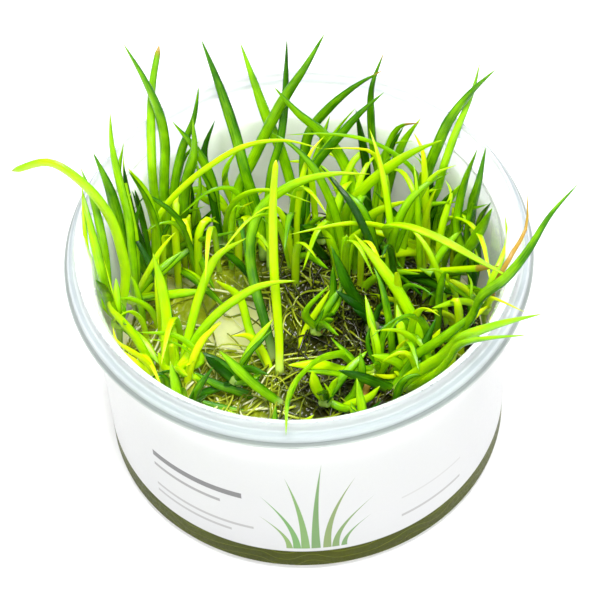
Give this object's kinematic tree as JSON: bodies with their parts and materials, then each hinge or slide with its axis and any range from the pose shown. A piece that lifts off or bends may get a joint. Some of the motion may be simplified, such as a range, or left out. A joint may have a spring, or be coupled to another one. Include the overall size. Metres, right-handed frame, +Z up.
{
  "type": "shoreweed tissue culture cup",
  "caption": "Clear plastic tissue culture cup with a wrap-round label, pale nutrient gel, matted roots and a tangle of shoreweed plantlets with long narrow green leaves.",
  "frame": {"origin": "centre of the flat bottom of the cup, on the surface it stands on", "axes": "+Z up along the cup's axis, -Y towards the viewer of the picture, +X to the viewer's right"},
  "size_m": [0.1181, 0.1013, 0.0851],
  "materials": {
    "clear_plastic": "clear, smooth moulded plastic",
    "label_paper": "satin printed paper with a green stripe round its foot",
    "nutrient_gel": "wet clear jelly, pale yellow",
    "matted_roots": "wet fibres, olive brown",
    "leaf_bright": "waxy leaf, bright green",
    "leaf_brown": "dried stalk and leaves, brown",
    "leaf_dark": "waxy leaf, dark green",
    "leaf_lime": "waxy leaf, lime green",
    "leaf_mid": "waxy leaf, mid green"
  },
  "bodies": {
    "root": {"cup": "clear_plastic", "label": "label_paper", "gel": "nutrient_gel", "root_mat": "matted_roots", "leaf_01": "leaf_lime", "leaf_02": "leaf_mid", "leaf_03": "leaf_mid", "leaf_04": "leaf_bright", "leaf_05": "leaf_mid", "leaf_06": "leaf_mid", "leaf_07": "leaf_bright", "leaf_08": "leaf_mid", "leaf_09": "leaf_dark", "leaf_10": "leaf_bright", "leaf_11": "leaf_dark", "leaf_12": "leaf_dark", "leaf_13": "leaf_lime", "leaf_14": "leaf_mid", "leaf_15": "leaf_mid", "leaf_16": "leaf_dark", "leaf_17": "leaf_dark", "leaf_18": "leaf_lime", "leaf_19": "leaf_mid", "leaf_20": "leaf_bright", "leaf_21": "leaf_bright", "leaf_22": "leaf_lime", "leaf_23": "leaf_mid", "leaf_24": "leaf_lime", "leaf_25": "leaf_mid", "leaf_26": "leaf_bright", "leaf_27": "leaf_bright", "leaf_28": "leaf_bright", "leaf_29": "leaf_mid", "leaf_30": "leaf_mid", "leaf_31": "leaf_mid", "plantlet_01": "leaf_mid", "plantlet_02": "leaf_mid", "plantlet_03": "leaf_dark", "plantlet_04": "leaf_bright", "plantlet_05": "leaf_dark", "plantlet_06": "leaf_dark", "plantlet_07": "leaf_dark", "plantlet_08": "leaf_bright", "plantlet_09": "leaf_mid", "plantlet_10": "leaf_dark", "plantlet_11": "leaf_dark", "plantlet_12": "leaf_mid", "plantlet_13": "leaf_dark", "plantlet_14": "leaf_dark", "plantlet_15": "leaf_dark", "plantlet_16": "leaf_mid", "plantlet_17": "leaf_mid", "plantlet_18": "leaf_mid", "plantlet_19": "leaf_bright", "plantlet_20": "leaf_dark", "plantlet_21": "leaf_brown", "plantlet_22": "leaf_mid", "plantlet_23": "leaf_mid", "plantlet_24": "leaf_mid", "plantlet_25": "leaf_mid"}
  },
  "joints": []
}
